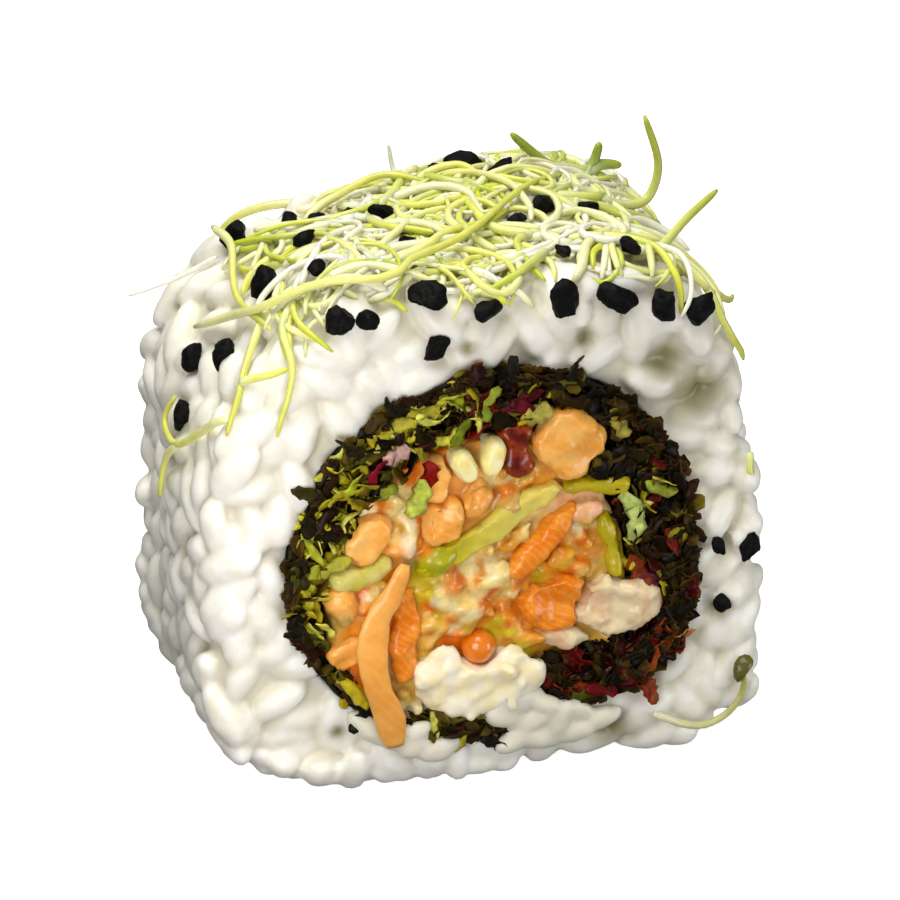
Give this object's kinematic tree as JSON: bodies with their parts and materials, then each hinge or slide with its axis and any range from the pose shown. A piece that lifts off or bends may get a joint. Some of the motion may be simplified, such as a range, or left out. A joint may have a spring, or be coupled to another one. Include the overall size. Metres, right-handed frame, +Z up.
{
  "type": "uramaki roll",
  "caption": "Cut piece of inside-out sushi roll with rice outside, seaweed and a chopped salmon and avocado filling, topped with leek sprouts.",
  "frame": {"origin": "middle of the flattened underside that the piece lies on", "axes": "+Z up, +Y along the roll's axis from the cut face that is seen to the other one, +X to the right of that cut face"},
  "size_m": [0.0481, 0.0291, 0.047],
  "materials": {
    "rice": "moist, translucent cooked short-grain rice",
    "seaweed": "damp dried seaweed sheet, nearly black green",
    "sprouts": "fresh pale yellow-green stems with black seed husks",
    "carrot": "moist shaved ribbon, orange",
    "red_leaf": "wet burgundy lettuce leaf",
    "kernel": "shelled cream-coloured seed",
    "roe": "glossy orange ball",
    "avocado": "buttery yellow-green, moist",
    "salmon": "raw salmon, wet, light orange with paler streaks",
    "pepper": "dark red, wet",
    "prawn": "cooked, pinkish cream, wet",
    "cream_cheese": "soft cream, lumpy",
    "chopped_mix": "chopped salmon and cream mash, wet",
    "leaves": "wet chopped salad leaves, dark olive with yellow-green ribs"
  },
  "bodies": {
    "root": {"rice": "rice", "seaweed": "seaweed", "leek_sprouts": "sprouts", "fallen_sprout": "sprouts", "carrot_ribbon": "carrot", "red_leaf": "red_leaf", "kernel_left": "kernel", "kernel_right": "kernel", "roe_ball": "roe", "avocado_strip_long": "avocado", "avocado_strip_end": "avocado", "salmon_slice": "salmon", "salmon_upper": "salmon", "pepper_red": "pepper", "salmon_bit_upper": "salmon", "salmon_bit_middle": "salmon", "salmon_bit_inner": "salmon", "salmon_left": "salmon", "avocado_strip_left": "avocado", "avocado_strip_right": "avocado", "prawn_chunk": "prawn", "prawn_edge": "prawn", "salmon_right": "salmon", "cream_cheese": "cream_cheese", "salmon_low": "salmon", "salmon_low_left": "salmon", "salmon_far_left": "salmon", "avocado_strip_low": "avocado", "chopped_salmon_mix": "chopped_mix", "chopped_leaves": "leaves"}
  },
  "joints": []
}
